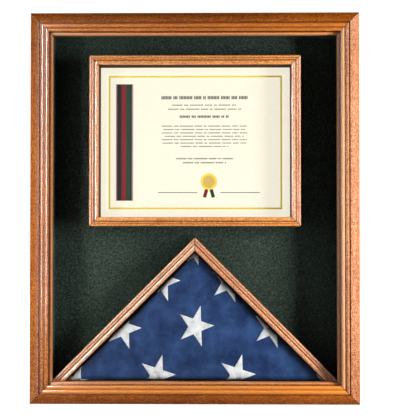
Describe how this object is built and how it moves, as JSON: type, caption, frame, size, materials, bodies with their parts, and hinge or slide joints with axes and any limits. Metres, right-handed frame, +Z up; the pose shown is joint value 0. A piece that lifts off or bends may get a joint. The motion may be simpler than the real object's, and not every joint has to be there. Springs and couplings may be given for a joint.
{
  "type": "flag display case",
  "caption": "Mitred wooden shadow-box case with a glazed front, a triangular compartment holding a folded flag, a framed certificate on felt and a lift-off back.",
  "frame": {"origin": "centre of the case's flat base, halfway from front to back of the wooden case", "axes": "+X to the right seen from the front, +Y from front to back, +Z up"},
  "size_m": [0.467, 0.0613, 0.555],
  "materials": {
    "cherry_stained_wood": "satin lacquer",
    "reeded_wood": "satin lacquer",
    "green_felt": "napped",
    "glass": "clear",
    "flag_cloth": "woven",
    "hardboard": "smooth",
    "mat_card": "matt",
    "paper": "matt",
    "backing_card": "matt",
    "brass": "plated",
    "zinc_steel": "zinc plated"
  },
  "bodies": {
    "case": {"bottom_liner": "green_felt", "case_bottom_board": "cherry_stained_wood", "case_left_board": "cherry_stained_wood", "case_right_board": "cherry_stained_wood", "case_top_board": "cherry_stained_wood", "flag_divider_left": "reeded_wood", "flag_divider_right": "reeded_wood", "folded_flag": "flag_cloth", "frame_v_nails": "zinc_steel", "front_frame_bottom": "cherry_stained_wood", "front_frame_left": "cherry_stained_wood", "front_frame_right": "cherry_stained_wood", "front_frame_top": "cherry_stained_wood", "front_glass": "glass", "hanger_nails": "zinc_steel", "hangers": "zinc_steel", "left_liner": "green_felt", "right_liner": "green_felt", "top_liner": "green_felt", "turn_button_screws": "brass"},
    "back": {"back_board": "hardboard", "certificate_backing": "backing_card", "certificate_frame_bottom": "reeded_wood", "certificate_frame_left": "reeded_wood", "certificate_frame_right": "reeded_wood", "certificate_frame_screws": "zinc_steel", "certificate_frame_top": "reeded_wood", "certificate_mat": "mat_card", "certificate_sheet": "paper", "felt_lining": "green_felt"},
    "turn_button_bottom_edge_left": {"turn_button_bottom_edge_left": "brass"},
    "turn_button_bottom_edge_right": {"turn_button_bottom_edge_right": "brass"},
    "turn_button_left_edge_bottom": {"turn_button_left_edge_bottom": "brass"},
    "turn_button_left_edge_top": {"turn_button_left_edge_top": "brass"},
    "turn_button_right_edge_bottom": {"turn_button_right_edge_bottom": "brass"},
    "turn_button_right_edge_top": {"turn_button_right_edge_top": "brass"},
    "turn_button_top_edge_left": {"turn_button_top_edge_left": "brass"},
    "turn_button_top_edge_right": {"turn_button_top_edge_right": "brass"}
  },
  "joints": [
    {"name": "back_lift_off", "type": "slide", "parent": "case", "child": "back", "axis": [0, 1, 0], "range_m": [0, 0.12]},
    {"name": "turn_button_bottom_edge_left_turn", "type": "hinge", "parent": "case", "child": "turn_button_bottom_edge_left", "pos_m": [-0.06, 0.0298, 0.0055], "axis": [0, 1, 0], "range_deg": [0, 90]},
    {"name": "turn_button_bottom_edge_right_turn", "type": "hinge", "parent": "case", "child": "turn_button_bottom_edge_right", "pos_m": [0.06, 0.0298, 0.0055], "axis": [0, 1, 0], "range_deg": [-90, 0]},
    {"name": "turn_button_left_edge_bottom_turn", "type": "hinge", "parent": "case", "child": "turn_button_left_edge_bottom", "pos_m": [-0.228, 0.0298, 0.14], "axis": [0, 1, 0], "range_deg": [-90, 0]},
    {"name": "turn_button_left_edge_top_turn", "type": "hinge", "parent": "case", "child": "turn_button_left_edge_top", "pos_m": [-0.228, 0.0298, 0.415], "axis": [0, 1, 0], "range_deg": [0, 90]},
    {"name": "turn_button_right_edge_bottom_turn", "type": "hinge", "parent": "case", "child": "turn_button_right_edge_bottom", "pos_m": [0.228, 0.0298, 0.14], "axis": [0, 1, 0], "range_deg": [0, 90]},
    {"name": "turn_button_right_edge_top_turn", "type": "hinge", "parent": "case", "child": "turn_button_right_edge_top", "pos_m": [0.228, 0.0298, 0.415], "axis": [0, 1, 0], "range_deg": [-90, 0]},
    {"name": "turn_button_top_edge_left_turn", "type": "hinge", "parent": "case", "child": "turn_button_top_edge_left", "pos_m": [-0.06, 0.0298, 0.5495], "axis": [0, 1, 0], "range_deg": [-90, 0]},
    {"name": "turn_button_top_edge_right_turn", "type": "hinge", "parent": "case", "child": "turn_button_top_edge_right", "pos_m": [0.06, 0.0298, 0.5495], "axis": [0, 1, 0], "range_deg": [0, 90]}
  ]
}
